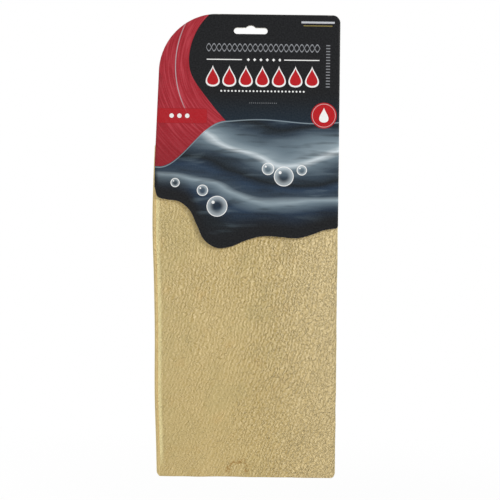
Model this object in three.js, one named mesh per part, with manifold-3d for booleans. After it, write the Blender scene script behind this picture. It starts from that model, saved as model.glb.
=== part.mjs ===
// A chamois leather, folded flat and held on a printed hang card.
// Millimetres. X goes to the right of the card's face, Y from the face to the back, Z up.
// The origin is the top of the hang slot's bump, where a peg carries the card, midway between its two panels.

import * as THREE from 'three';
import { mergeVertices } from 'three/addons/utils/BufferGeometryUtils.js';
import Module from 'manifold-3d';

const wasm = await Module();
wasm.setup();

// Sizes of the board and of the hang slot
const boardThickness = 0.6;
const boardInside = 2; // clear distance between the two panels
const cardTop = 10.8; // from the top of the slot's bump up to the fold
const cardRight = 85; // from the middle of the slot to the right edge
const cardLeftHigh = 86.8; // the same to the left edge, below the large corner
const cardLeftLow = 89.6; // and to the left edge where it runs upright
const largeCorner = 56.4; // radius of the top left corner
const topCorner = 8;
const lowCorner = 3;
const flareDrop = 130; // down to where the left edge runs upright
const leftDrop = 154; // down to where the wavy lower edge begins on the left
const rightDrop = 192; // and on the right
const waveDepth = 57.5; // from leftDrop down to the lowest point of the card
const backDrop = 75; // down to the lower edge of the back panel
const bendRoom = 0.7; // below the back panel's edge, where the neck bends round it
const backCorner = 5;
const slotWidth = 32;
const slotHeight = 6;
const slotBump = 2.2; // how far the bump rises over the slot's bar
const slotBumpWidth = 9;

// Sizes of the skin
const skin = 1;
const layerGap = 0.4; // between the two layers of one leaf
const leafGap = 0.8; // between one leaf and the next
const skinRight = 84.8;
const skinLeft = 91.4; // from the middle of the slot to the widest place of the left fold
const skinLean = 7; // how far the left fold draws in towards the foot
const bodyTop = 114; // down to the top of the leaves
const bodyFoot = 429; // down to the fold at the foot
const footCorner = 4;
const neckWidth = 87;
const neckDrop = 44; // down to the top of the neck
const neckTaper = 3; // how much narrower each side of the neck is at its top
const rearWidth = 132; // widest place of the last leaf, from its fold to its free edge

// Sizes of the staples
const wireDepth = 0.5;
const wireHeight = 0.6;
const crownWidth = 12;
const clinchLength = 4;
const wireBend = 0.7; // outer radius of a bend
const stapleInset = 16.5; // from the side of the neck to the middle of the nearer staple
const stapleDrop = 59;

// Clearances
const foldCut = 0.3; // where a sheet is parted at a fold
const seat = 0.05; // between sheets that lie on each other
const wireRoom = 0.3; // round a staple's leg
const overrun = 5; // how far a cutting body runs past what it cuts

// What follows from the sizes
const insideFace = boardInside / 2;
const outsideFace = insideFace + boardThickness;
const foldHeight = cardTop - outsideFace;
const neckBack = insideFace - seat;
const neckFront = neckBack - skin;
const leafThickness = 2 * skin + layerGap;
const leafPitch = leafThickness + leafGap;
const rollRadius = leafThickness + (leafGap - foldCut) / 2;
const bodyHeight = bodyFoot - bodyTop;
const staplePitch = neckWidth / 2 - stapleInset;
const bendDrop = backDrop + bendRoom;

const rightAngle = Math.PI / 2;
const arcSteps = 8;
const largeCornerSteps = 24;
const waveSteps = 56;
const rollSteps = 5;
const footSteps = 6;
const rowShares = [0, 0.08, 0.2, 0.35, 0.5, 0.65, 0.8, 0.92, 1];

// The card's lower edge, as shares of its width from the left and of the wave's depth
const waveShares = [
  [0.018, 0.165],
  [0.066, 0.21],
  [0.135, 0.243],
  [0.192, 0.383],
  [0.2325, 0.626],
  [0.273, 0.87],
  [0.341, 1],
  [0.4215, 0.974],
  [0.502, 0.87],
  [0.593, 0.8],
  [0.685, 0.809],
  [0.777, 0.826],
  [0.857, 0.765],
  [0.9255, 0.687],
];

// The left fold of the skin, as shares of the leaves' height from the top and of its lean
const leanShares = [
  [0, 0.19],
  [0.108, 0.04],
  [0.251, 0],
  [0.397, 0.26],
  [0.543, 0.46],
  [0.759, 0.59],
  [0.905, 0.86],
  [1, 1],
];

// The top of the front layer, as shares of a shoulder's width from its side and of the rise to the neck
const shoulderShares = [
  [0.05, 0.02],
  [0.15, 0.18],
  [0.38, 0.3],
  [0.7, 0.4],
  [0.93, 0.5],
];
const neckFootShare = 0.68;

// The natural edge of the last leaf, as shares of the height from the top and of its widest place
const freeEdgeShares = [
  [0, 0.7],
  [0.12, 0.81],
  [0.3, 0.93],
  [0.5, 1],
  [0.7, 0.97],
  [0.88, 0.86],
  [1, 0.76],
];

// The natural top edges of the hidden layers, as shares of the width and of the body's height
const topWaveShares = [
  [0, 0.012],
  [0.2, 0.03],
  [0.45, 0.006],
  [0.7, 0.026],
  [1, 0.016],
];

// Straight lines between the listed points, held level past both ends
function between(table, share) {
  if (share <= table[0][0]) {
    return table[0][1];
  }
  for (let i = 1; i < table.length; i += 1) {
    if (share <= table[i][0]) {
      const part = (share - table[i - 1][0]) / (table[i][0] - table[i - 1][0]);
      return THREE.MathUtils.lerp(table[i - 1][1], table[i][1], part);
    }
  }
  return table[table.length - 1][1];
}

// Solids

function toSolid(geometry) {
  const bare = geometry.clone();
  bare.deleteAttribute('normal');
  bare.deleteAttribute('uv');
  const merged = mergeVertices(bare);
  return new wasm.Manifold(
    new wasm.Mesh({
      numProp: 3,
      vertProperties: new Float32Array(merged.attributes.position.array),
      triVerts: new Uint32Array(merged.index.array),
    }),
  );
}

function toGeometry(solid) {
  const mesh = solid.getMesh();
  const geometry = new THREE.BufferGeometry();
  geometry.setAttribute('position', new THREE.BufferAttribute(new Float32Array(mesh.vertProperties), 3));
  geometry.setIndex(new THREE.BufferAttribute(new Uint32Array(mesh.triVerts), 1));
  return geometry;
}

function prism(points, depth) {
  return new THREE.ExtrudeGeometry(new THREE.Shape(points), { depth, bevelEnabled: false });
}

// An outline in X and Z, as thick as from one Y to another
function upright(points, fromY, toY) {
  const geometry = prism(points, toY - fromY);
  geometry.applyMatrix4(
    new THREE.Matrix4().makeBasis(
      new THREE.Vector3(1, 0, 0),
      new THREE.Vector3(0, 0, 1),
      new THREE.Vector3(0, -1, 0),
    ),
  );
  return geometry.translate(0, toY, 0);
}

// A section in Y and Z, as wide as from one X to another
function across(points, fromX, toX) {
  const geometry = prism(points, toX - fromX);
  geometry.applyMatrix4(
    new THREE.Matrix4().makeBasis(
      new THREE.Vector3(0, 1, 0),
      new THREE.Vector3(0, 0, 1),
      new THREE.Vector3(1, 0, 0),
    ),
  );
  return geometry.translate(fromX, 0, 0);
}

// A plan in X and Y, as high as from one Z to another
function level(points, fromZ, toZ) {
  return prism(points, toZ - fromZ).translate(0, 0, fromZ);
}

function arc(x, y, radius, fromAngle, toAngle, steps) {
  const points = [];
  for (let i = 0; i <= steps; i += 1) {
    const angle = THREE.MathUtils.lerp(fromAngle, toAngle, i / steps);
    points.push(new THREE.Vector2(x + radius * Math.cos(angle), y + radius * Math.sin(angle)));
  }
  return points;
}

function rectangle(left, right, low, high) {
  return [
    new THREE.Vector2(left, low),
    new THREE.Vector2(right, low),
    new THREE.Vector2(right, high),
    new THREE.Vector2(left, high),
  ];
}

// The card

const largeCornerX = -cardLeftHigh + largeCorner;
const largeCornerZ = cardTop - largeCorner;

function topOutline() {
  return [
    ...arc(largeCornerX, largeCornerZ, largeCorner, 2 * rightAngle, rightAngle, largeCornerSteps),
    ...arc(cardRight - topCorner, cardTop - topCorner, topCorner, rightAngle, 0, arcSteps),
  ];
}

function waveEdge() {
  const width = cardLeftLow + cardRight;
  const inside = waveShares.map(
    ([along, down]) => new THREE.Vector3(-cardLeftLow + along * width, -leftDrop - down * waveDepth, 0),
  );
  const curve = new THREE.CatmullRomCurve3([
    new THREE.Vector3(-cardLeftLow, -leftDrop, 0),
    ...inside,
    new THREE.Vector3(cardRight - lowCorner, -rightDrop, 0),
  ]);
  return curve.getPoints(waveSteps).map((point) => new THREE.Vector2(point.x, point.y));
}

function frontOutline() {
  return [
    ...topOutline(),
    ...arc(cardRight - lowCorner, -rightDrop + lowCorner, lowCorner, 0, -rightAngle, arcSteps).slice(0, -1),
    ...waveEdge().reverse(),
    new THREE.Vector2(-cardLeftLow, -flareDrop),
  ];
}

function backOutline() {
  return [
    ...topOutline(),
    ...arc(cardRight - backCorner, -backDrop + backCorner, backCorner, 0, -rightAngle, arcSteps),
    ...arc(-cardLeftHigh + backCorner, -backDrop + backCorner, backCorner, -rightAngle, -2 * rightAngle, arcSteps),
  ];
}

// A long bar with round ends, and a low bump on the middle of its upper side
function slotOutline() {
  const barTop = -slotBump;
  const barLow = barTop - slotHeight;
  const end = slotHeight / 2;
  const middle = barTop - end;
  const halfBump = slotBumpWidth / 2;
  const bumpRadius = (halfBump * halfBump + slotBump * slotBump) / (2 * slotBump);
  const bumpAngle = Math.asin(halfBump / bumpRadius);
  return [
    ...arc(-slotWidth / 2 + end, middle, end, 3 * rightAngle, rightAngle, arcSteps),
    ...arc(0, -bumpRadius, bumpRadius, rightAngle + bumpAngle, rightAngle - bumpAngle, arcSteps),
    ...arc(slotWidth / 2 - end, middle, end, rightAngle, -rightAngle, arcSteps),
  ];
}

// The back panel with the fold over its top, which ends where the front panel begins
function backSection() {
  return [
    new THREE.Vector2(insideFace, -backDrop - overrun),
    new THREE.Vector2(outsideFace, -backDrop - overrun),
    ...arc(0, foldHeight, outsideFace, 0, 2 * rightAngle, 2 * arcSteps),
    ...arc(0, foldHeight, insideFace, 2 * rightAngle, 0, 2 * arcSteps),
  ];
}

const slotCutter = toSolid(upright(slotOutline(), -outsideFace - overrun, outsideFace + overrun));

function legHoles() {
  const holes = [];
  for (const place of [-1, 0, 1]) {
    for (const side of [-1, 1]) {
      const x = place * staplePitch + (side * (crownWidth - wireDepth)) / 2;
      const reach = wireDepth / 2 + wireRoom;
      const rise = wireHeight / 2 + wireRoom;
      const hole = rectangle(x - reach, x + reach, -stapleDrop - rise, -stapleDrop + rise);
      holes.push(toSolid(upright(hole, -outsideFace - overrun, outsideFace + overrun)));
    }
  }
  return holes;
}

function pierced(solid) {
  return legHoles().reduce((left, hole) => left.subtract(hole), solid);
}

function frontPanel() {
  const sheet = toSolid(upright(frontOutline(), -outsideFace, -insideFace));
  const aboveFold = rectangle(
    -cardLeftLow - overrun,
    cardRight + overrun,
    foldHeight - foldCut,
    cardTop + overrun,
  );
  const cutter = toSolid(upright(aboveFold, -outsideFace - overrun, overrun));
  return toGeometry(sheet.subtract(cutter).subtract(slotCutter));
}

function backPanel() {
  const bent = toSolid(across(backSection(), -cardLeftHigh - overrun, cardRight + overrun));
  const outline = toSolid(upright(backOutline(), -outsideFace - overrun, outsideFace + overrun));
  return toGeometry(pierced(bent.intersect(outline).subtract(slotCutter)));
}

// The staples: crown behind the back panel, legs through board and leather, ends bent in over the leather

function staple() {
  const half = crownWidth / 2;
  const crownBack = outsideFace + seat + wireDepth;
  const clinchFront = neckFront - seat - wireDepth;
  const inner = wireBend - wireDepth;
  const right = [
    ...arc(half - wireBend, crownBack - wireBend, wireBend, rightAngle, 0, arcSteps),
    ...arc(half - wireBend, clinchFront + wireBend, wireBend, 0, -rightAngle, arcSteps),
    new THREE.Vector2(half - clinchLength, clinchFront),
    new THREE.Vector2(half - clinchLength, clinchFront + wireDepth),
    ...arc(half - wireBend, clinchFront + wireBend, inner, -rightAngle, 0, arcSteps),
    ...arc(half - wireBend, crownBack - wireBend, inner, 0, rightAngle, arcSteps),
  ];
  const left = right.map((point) => new THREE.Vector2(-point.x, point.y)).reverse();
  return level([...right, ...left], -wireHeight / 2, wireHeight / 2);
}

// The skin

function neckTab() {
  const half = neckWidth / 2;
  const top = -neckDrop;
  const foot = -bendDrop + foldCut / 2;
  const outline = [
    new THREE.Vector2(-half, foot),
    new THREE.Vector2(half, foot),
    ...arc(half - neckTaper - backCorner, top - backCorner, backCorner, 0, rightAngle, arcSteps),
    ...arc(-half + neckTaper + backCorner, top - backCorner, backCorner, rightAngle, 2 * rightAngle, arcSteps),
  ];
  return toGeometry(pierced(toSolid(upright(outline, neckFront, neckBack))));
}

function leftFold(z) {
  const share = (-bodyTop - z) / bodyHeight;
  return -skinLeft + skinLean * between(leanShares, share);
}

function rightFold() {
  return skinRight;
}

function freeEdge(z) {
  const share = (-bodyTop - z) / bodyHeight;
  return skinRight - rearWidth * between(freeEdgeShares, share);
}

function plainTop(share) {
  return -bodyTop - bodyHeight * between(topWaveShares, share);
}

// Places across the front leaf, as shares of its width, with their shares of the rise to the neck
function neckTable() {
  const width = skinLeft + skinRight;
  const neckStart = (skinLeft - neckWidth / 2) / width;
  const neckEnd = (skinLeft + neckWidth / 2) / width;
  const steep = neckTaper / width;
  const leftFoot = neckStart - steep;
  const rightFoot = neckEnd + steep;
  return [
    ...shoulderShares.map(([along, high]) => [along * leftFoot, high]),
    [leftFoot, neckFootShare],
    [neckStart, 1],
    [(neckStart + neckEnd) / 2, 1],
    [neckEnd, 1],
    [rightFoot, neckFootShare],
    ...shoulderShares.map(([along, high]) => [1 - along * (1 - rightFoot), high]).reverse(),
  ];
}

// Rises from the body's top over two shoulders to the neck
function neckedTop(share) {
  return -bodyTop + (bodyTop - bendDrop - foldCut / 2) * between(neckTable(), share);
}

// How far the foot rises at a rounded corner, at this distance from the side
function cornerLift(distance) {
  if (distance >= footCorner) {
    return 0;
  }
  const inward = footCorner - Math.max(distance, 0);
  return footCorner - Math.sqrt(footCorner * footCorner - inward * inward);
}

// The section of a leaf: down its front layer, round the foot, up its rear layer and back inside
function leafRing(front, frontTop, rearTop, foot) {
  const back = front + leafThickness;
  const middle = front + leafThickness / 2;
  const outerRadius = leafThickness / 2;
  const innerRadius = layerGap / 2;
  const turn = foot + outerRadius;
  const run = (y, fromZ, toZ) => rowShares.map((share) => [y, THREE.MathUtils.lerp(fromZ, toZ, share)]);
  const bend = (radius, fromAngle, toAngle) =>
    arc(middle, turn, radius, fromAngle, toAngle, footSteps)
      .slice(1, -1)
      .map((point) => [point.x, point.y]);
  return [
    ...run(front, frontTop, turn),
    ...bend(outerRadius, 2 * rightAngle, 4 * rightAngle),
    ...run(back, turn, rearTop),
    ...run(back - skin, rearTop, turn),
    ...bend(innerRadius, 4 * rightAngle, 2 * rightAngle),
    ...run(front + skin, turn, frontTop),
  ];
}

// A leaf is a row of such sections. At a side that is a fold, the sections turn a quarter round
// the fold's centre, towards the next leaf. centre is null at a side that is a free edge.
function leaf({ front, left, right, leftCentre, rightCentre, frontTop, rearTop, shares }) {
  const leftRoom = leftCentre === null ? 0 : rollRadius;
  const rightRoom = rightCentre === null ? 0 : rollRadius;
  const width = right(-bodyFoot) - left(-bodyFoot);
  const stations = [];
  if (leftCentre !== null) {
    for (let i = rollSteps; i > 0; i -= 1) {
      stations.push({ share: 0, angle: (rightAngle * i) / rollSteps, side: -1 });
    }
  }
  stations.push(...shares.map((share) => ({ share, angle: 0, side: 0 })));
  if (rightCentre !== null) {
    for (let i = 1; i <= rollSteps; i += 1) {
      stations.push({ share: 1, angle: (rightAngle * i) / rollSteps, side: 1 });
    }
  }
  const flat = width - leftRoom - rightRoom;
  const rings = stations.map(({ share, angle, side }) => {
    const drawn = Math.sin(angle);
    const fromLeft = leftRoom * (side < 0 ? 1 - drawn : 1) + share * flat;
    const fromRight = rightRoom * (side > 0 ? 1 - drawn : 1) + (1 - share) * flat;
    const foot = -bodyFoot + cornerLift(fromLeft) + cornerLift(fromRight);
    const overall = (leftRoom + share * flat) / width;
    return leafRing(front, frontTop(overall), rearTop(overall), foot).map(([y, z]) => {
      const low = left(z) + leftRoom;
      const high = right(z) - rightRoom;
      const x = THREE.MathUtils.lerp(low, high, share);
      if (side === 0) {
        return [x, y, z];
      }
      const centre = side < 0 ? leftCentre : rightCentre;
      return [x + side * Math.abs(y - centre) * drawn, centre + (y - centre) * Math.cos(angle), z];
    });
  });
  const count = rings[0].length;
  const positions = rings.flat(2);
  const faces = [];
  for (let i = 0; i + 1 < rings.length; i += 1) {
    for (let j = 0; j < count; j += 1) {
      const a = i * count + j;
      const b = i * count + ((j + 1) % count);
      faces.push(a, b, a + count, b, b + count, a + count);
    }
  }
  const last = (rings.length - 1) * count;
  for (let j = 0; j + 1 < count / 2; j += 1) {
    const k = count - 1 - j;
    faces.push(j, k - 1, j + 1, j, k, k - 1);
    faces.push(last + j, last + j + 1, last + k - 1, last + j, last + k - 1, last + k);
  }
  const geometry = new THREE.BufferGeometry();
  geometry.setAttribute('position', new THREE.BufferAttribute(new Float32Array(positions), 3));
  geometry.setIndex(faces);
  return geometry;
}

const firstFold = neckFront + leafThickness + leafGap / 2;
const secondFold = firstFold + leafPitch;

// Where the sections of the front leaf stand, so that its shoulders and neck keep their corners
function frontShares() {
  const width = skinLeft + skinRight;
  const places = neckTable().map(([along]) => (along * width - rollRadius) / (width - rollRadius));
  return [0, ...places.filter((place) => place > 0), 1];
}

const endShares = [0, 0.012, 0.2, 0.45, 0.7, 0.988, 1];
const freeEndShares = [0, 0.012, 0.035, 0.35, 0.7, 0.988, 1];

const frontLeaf = leaf({
  front: neckFront,
  left: leftFold,
  right: rightFold,
  leftCentre: firstFold - foldCut / 2,
  rightCentre: null,
  frontTop: neckedTop,
  rearTop: plainTop,
  shares: frontShares(),
});
const middleLeaf = leaf({
  front: neckFront + leafPitch,
  left: leftFold,
  right: rightFold,
  leftCentre: firstFold + foldCut / 2,
  rightCentre: secondFold - foldCut / 2,
  frontTop: plainTop,
  rearTop: plainTop,
  shares: endShares,
});
const rearLeaf = leaf({
  front: neckFront + 2 * leafPitch,
  left: freeEdge,
  right: rightFold,
  leftCentre: null,
  rightCentre: secondFold + foldCut / 2,
  frontTop: plainTop,
  rearTop: plainTop,
  shares: freeEndShares,
});

// Materials and the finished group

const printedBoard = new THREE.MeshStandardMaterial({ color: 0x35363b, roughness: 0.32, metalness: 0 });
const plainBoard = new THREE.MeshStandardMaterial({ color: 0xd9d6cd, roughness: 0.75, metalness: 0 });
const leather = new THREE.MeshStandardMaterial({ color: 0xc1ad7c, roughness: 0.9, metalness: 0 });
const wire = new THREE.MeshStandardMaterial({ color: 0xb8babd, roughness: 0.35, metalness: 1 });

const group = new THREE.Group();

function add(name, geometry, material, x = 0, z = 0) {
  geometry.computeVertexNormals();
  const mesh = new THREE.Mesh(geometry, material);
  mesh.name = name;
  mesh.position.set(x, 0, z);
  group.add(mesh);
}

add('front_panel', frontPanel(), printedBoard);
add('back_panel', backPanel(), plainBoard);
add('neck_tab', neckTab(), leather);
add('front_leaf', frontLeaf, leather);
add('middle_leaf', middleLeaf, leather);
add('rear_leaf', rearLeaf, leather);
add('staple_left', staple(), wire, -staplePitch, -stapleDrop);
add('staple_middle', staple(), wire, 0, -stapleDrop);
add('staple_right', staple(), wire, staplePitch, -stapleDrop);

export default group;
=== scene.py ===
"""Looks for a chamois leather, folded flat on a printed hang card.

The skin is one sheet: folded once at the foot, then twice across, as a Z. Each piece may bend
over one joint, so two pieces make the folded skin and a third its neck, and they meet in the
middle leaf and below the neck. The card's printed piece reaches over the fold at its top.

Sizes are in millimetres, as in the part's source, and become metres when a mesh is made.
"""

import math
from collections import namedtuple

import bmesh
import bpy
import numpy as np
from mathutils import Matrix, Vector, geometry, noise


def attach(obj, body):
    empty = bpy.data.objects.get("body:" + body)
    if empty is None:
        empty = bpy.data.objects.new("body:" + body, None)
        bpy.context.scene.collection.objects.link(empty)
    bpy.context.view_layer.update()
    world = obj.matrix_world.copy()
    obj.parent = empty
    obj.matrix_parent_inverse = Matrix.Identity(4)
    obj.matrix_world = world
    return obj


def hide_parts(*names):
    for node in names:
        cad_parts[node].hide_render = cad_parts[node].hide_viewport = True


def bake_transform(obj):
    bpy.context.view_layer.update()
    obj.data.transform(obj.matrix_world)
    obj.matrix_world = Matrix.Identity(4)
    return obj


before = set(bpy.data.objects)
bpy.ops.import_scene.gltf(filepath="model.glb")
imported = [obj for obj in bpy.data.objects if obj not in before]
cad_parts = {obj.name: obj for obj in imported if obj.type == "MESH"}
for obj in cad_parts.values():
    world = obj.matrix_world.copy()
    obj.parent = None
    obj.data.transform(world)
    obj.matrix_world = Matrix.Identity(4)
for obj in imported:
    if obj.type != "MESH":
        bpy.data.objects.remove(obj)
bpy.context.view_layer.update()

MM = 0.001

# Sizes of the board and of the hang slot, from the part's source
BOARD_INSIDE = 1.0
BOARD_OUTSIDE = 1.6
CARD_TOP = 10.8
CARD_RIGHT = 85.0
CARD_LEFT_HIGH = 86.8
CARD_LEFT_LOW = 89.6
LARGE_CORNER = 56.4
TOP_CORNER = 8.0
LOW_CORNER = 3.0
BACK_CORNER = 5.0
FLARE_DROP = 130.0
LEFT_DROP = 154.0
RIGHT_DROP = 192.0
WAVE_DEPTH = 57.5
BACK_DROP = 75.0
SLOT_WIDTH = 32.0
SLOT_HEIGHT = 6.0
SLOT_BUMP = 2.2
SLOT_BUMP_WIDTH = 9.0
FOLD_HEIGHT = CARD_TOP - BOARD_OUTSIDE
SCORE_DROP = 0.3

# Sizes of the skin
SKIN = 1.0
LAYER_GAP = 0.4
SKIN_RIGHT = 84.8
SKIN_LEFT = 91.4
SKIN_LEAN = 7.0
BODY_TOP = 114.0
BODY_FOOT = 429.0
BODY_HEIGHT = BODY_FOOT - BODY_TOP
FOOT_CORNER = 4.0
NECK_HALF = 43.5
NECK_FOOT_HALF = NECK_HALF + 1.02  # at the seam below the back panel
NECK_TOP = 44.0
NECK_TAPER = 3.0
NECK_SEAM = 80.0
NECK_BEND = 75.7
NECK_CORNER = 5.0
REAR_WIDTH = 132.0
SKIN_FRONT = -0.05
LEAF = 2 * SKIN + LAYER_GAP
FIRST_FOLD = 2.75
SECOND_FOLD = 5.95
FOLD_CUT = 0.3  # between the solids of two leaves
ROLL = FIRST_FOLD - SKIN_FRONT

# The flat skin is measured leftward from its right edge as u and upward from the foot as v
FLAT_FRONT = SKIN_LEFT + SKIN_RIGHT - ROLL
FLAT_MIDDLE = FLAT_FRONT - ROLL
FOLD_RUN = math.pi * (ROLL - LEAF / 2)
REAR_RUN = REAR_WIDTH - ROLL
MIDDLE_START = FLAT_FRONT + FOLD_RUN
SECOND_START = MIDDLE_START + FLAT_MIDDLE
REAR_START = SECOND_START + FOLD_RUN

# Sizes of the staples
STAPLE_PITCH = 27.0
STAPLE_CENTRES = (-STAPLE_PITCH, 0.0, STAPLE_PITCH)
STAPLE_DROP = 59.0
STAPLE_HALF = 5.75
WIRE_HALF = 0.35
STAPLE_CALM = 9.0  # how far the skin is pressed flat around a staple

# Outlines, each as places along its run with shares of its reach
WAVE_SHARES = [
    (0.018, 0.165), (0.066, 0.21), (0.135, 0.243), (0.192, 0.383), (0.2325, 0.626),
    (0.273, 0.87), (0.341, 1.0), (0.4215, 0.974), (0.502, 0.87), (0.593, 0.8),
    (0.685, 0.809), (0.777, 0.826), (0.857, 0.765), (0.9255, 0.687),
]
LEAN_SHARES = [
    (0, 0.19), (0.108, 0.04), (0.251, 0), (0.397, 0.26),
    (0.543, 0.46), (0.759, 0.59), (0.905, 0.86), (1, 1),
]
SHOULDER_SHARES = [(0.05, 0.02), (0.15, 0.18), (0.38, 0.3), (0.7, 0.4), (0.93, 0.5)]
NECK_FOOT_SHARE = 0.68
FREE_EDGE_SHARES = [
    (0, 0.7), (0.12, 0.81), (0.3, 0.93), (0.5, 1), (0.7, 0.97), (0.88, 0.86), (1, 0.76),
]
TOP_WAVE_SHARES = [(0, 0.012), (0.2, 0.03), (0.45, 0.006), (0.7, 0.026), (1, 0.016)]


def straight(table, share):
    """Straight lines between the listed points, level past both ends."""
    places, values = np.array(table, float).T
    return np.interp(share, places, values)


def curved(table, share):
    """A smooth line through the listed points, level past both ends."""
    places, values = np.array(table, float).T
    slopes = np.gradient(values, places)
    share = np.clip(share, places[0], places[-1])
    k = np.clip(np.searchsorted(places, share) - 1, 0, len(places) - 2)
    width = places[k + 1] - places[k]
    t = (share - places[k]) / width
    return (
        values[k] * (1 + 2 * t) * (1 - t) ** 2
        + values[k + 1] * (3 - 2 * t) * t**2
        + width * slopes[k] * t * (1 - t) ** 2
        + width * slopes[k + 1] * (t - 1) * t**2
    )


def lerp(a, b, share):
    return a + (b - a) * share


def smooth(low, high, value):
    """From 0 at low to 1 at high, level at both ends."""
    t = np.clip((value - low) / (high - low), 0, 1)
    return t * t * (3 - 2 * t)


def swell(a, b, layer):
    """Smooth noise from about -1 to 1 at each place of two arrays, another for each layer."""
    a, b = np.broadcast_arrays(np.asarray(a, float), np.asarray(b, float))
    flat = [noise.noise(Vector((p, q, layer))) for p, q in zip(a.ravel(), b.ravel())]
    return np.array(flat).reshape(a.shape)


# Shader nodes


def colour(code):
    """A colour written as in a web page, such as 0xc1ad7c, in Blender's linear values."""
    parts = [((code >> shift) & 255) / 255 for shift in (16, 8, 0)]
    linear = [p / 12.92 if p <= 0.04045 else ((p + 0.055) / 1.055) ** 2.4 for p in parts]
    return (*linear, 1.0)


def arithmetic(operation, swapped=False):
    """A method that adds a Math node for a socket and another value."""
    def method(self, other):
        first, second = (other, self) if swapped else (self, other)
        return self.math(operation, first, second)

    return method


class Socket:
    """One output of a node. Arithmetic on it adds Math nodes."""

    def __init__(self, paint, socket):
        self.paint = paint
        self.socket = socket

    def math(self, operation, *values, clamp=False):
        settings = {"operation": operation, "use_clamp": clamp}
        return self.paint.node("ShaderNodeMath", settings, dict(enumerate(values)))

    __add__ = __radd__ = arithmetic("ADD")
    __sub__ = arithmetic("SUBTRACT")
    __rsub__ = arithmetic("SUBTRACT", swapped=True)
    __mul__ = __rmul__ = arithmetic("MULTIPLY")
    __truediv__ = arithmetic("DIVIDE")
    __pow__ = arithmetic("POWER")
    __mod__ = arithmetic("FLOORED_MODULO")
    largest = arithmetic("MAXIMUM")
    smallest = arithmetic("MINIMUM")

    def __abs__(self):
        return self.math("ABSOLUTE", self)

    def sine(self):
        return self.math("SINE", self)

    def clamped(self):
        return self.math("ADD", self, 0, clamp=True)


class Paint:
    """The node tree of one material, or of the world."""

    def __init__(self, owner):
        owner.use_nodes = True
        self.owner = owner
        self.tree = owner.node_tree
        self.tree.nodes.clear()

    def node(self, kind, settings=None, sockets=None, output=0):
        """Adds a node, sets it, gives its sockets their values or links, and returns an output."""
        made = self.tree.nodes.new(kind)
        for name, value in (settings or {}).items():
            if name == "stops":
                ramp = made.color_ramp
                while len(ramp.elements) < len(value):
                    ramp.elements.new(1.0)
                for element, (place, shade) in zip(ramp.elements, value):
                    element.position = place
                    element.color = shade
            else:
                setattr(made, name, value)
        for key, value in (sockets or {}).items():
            if isinstance(value, Socket):
                self.tree.links.new(value.socket, made.inputs[key])
            else:
                made.inputs[key].default_value = value
        return Socket(self, made.outputs[output]) if len(made.outputs) else None

    def attribute(self, name, output="Vector"):
        return self.node("ShaderNodeAttribute", {"attribute_name": name}, output=output)

    def vector(self, x, y):
        return self.node("ShaderNodeCombineXYZ", None, {0: x, 1: y, 2: 0.0})

    def part(self, vector, axis):
        return self.node("ShaderNodeSeparateXYZ", None, {0: vector}, output=axis)

    def vector_math(self, operation, vector, other):
        return self.node("ShaderNodeVectorMath", {"operation": operation}, {0: vector, 1: other})

    def scaled(self, vector, factors):
        return self.vector_math("MULTIPLY", vector, factors)

    def moved(self, vector, by):
        return self.vector_math("ADD", vector, by)

    def noise(self, vector, scale, detail=2.0, roughness=0.5, output=0):
        sockets = {"Vector": vector, "Scale": scale, "Detail": detail, "Roughness": roughness}
        return self.node("ShaderNodeTexNoise", None, sockets, output)

    def mix(self, share, under, over):
        settings = {"data_type": "RGBA", "clamp_factor": True}
        return self.node("ShaderNodeMix", settings, {0: share, 6: under, 7: over}, output=2)

    def layered(self, shade, marks):
        """A shade with inks mixed over it in turn. Each mark is a share and its ink."""
        for share, ink in marks:
            shade = self.mix(share, shade, ink)
        return shade

    def ramp(self, value, stops):
        return self.node("ShaderNodeValToRGB", {"stops": stops}, {0: value})

    def rise(self, value, low, high):
        """From 0 at low to 1 at high, level at both ends."""
        settings = {"interpolation_type": "SMOOTHSTEP"}
        return self.node("ShaderNodeMapRange", settings, {0: value, 1: low, 2: high})

    def bump(self, height, distance, strength=1.0):
        sockets = {"Height": height, "Distance": distance, "Strength": strength}
        return self.node("ShaderNodeBump", None, sockets)

    def finish(self, **sockets):
        """Ends the material with one Principled shader. Names of sockets have _ for spaces."""
        named = {name.replace("_", " "): value for name, value in sockets.items()}
        shader = self.node("ShaderNodeBsdfPrincipled", None, named)
        self.node("ShaderNodeOutputMaterial", None, {"Surface": shader})
        return self.owner


EDGE_SOFTNESS = 0.12
DROP_PEAK = 1.299  # the largest value of (1 - h)**1.5 * (1 + h)**0.5


def inside(depth):
    """The mask of a printed shape, from how deep a place is inside it in millimetres."""
    return (depth / EDGE_SOFTNESS + 0.5).clamped()


def band(value, low, high):
    return inside(value - low) * inside(high - value)


def bar(x, z, left, right, height, half):
    return band(x, left, right) * inside(half - abs(z - height))


def distance(x, z, centre_x, centre_z):
    return ((x - centre_x) ** 2 + (z - centre_z) ** 2) ** 0.5


def ring(x, z, centre_x, centre_z, radius, thickness):
    away = abs(distance(x, z, centre_x, centre_z) - radius)
    return inside(thickness / 2 - away)


def in_steps(value, start, step):
    """How far a value is past the middle of its step, with equal steps from a start."""
    return (value - start) % step - step / 2


def dot_row(x, z, left, right, height, step, radius):
    to_dot = distance(in_steps(x, left, step), z, 0, height)
    return inside(radius - to_dot) * band(x, left, right)


def drop(x, z, height, half_width, half_height):
    """A water drop with its point upward, in the middle of x and at a height."""
    share = ((z - height) / half_height).largest(-1).smallest(1)
    width = (1 - share) ** 1.5 * (1 + share) ** 0.5
    within_ends = band(z, height - half_height, height + half_height)
    return inside(width * (half_width / DROP_PEAK) - abs(x)) * within_ends


# The leather

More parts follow.
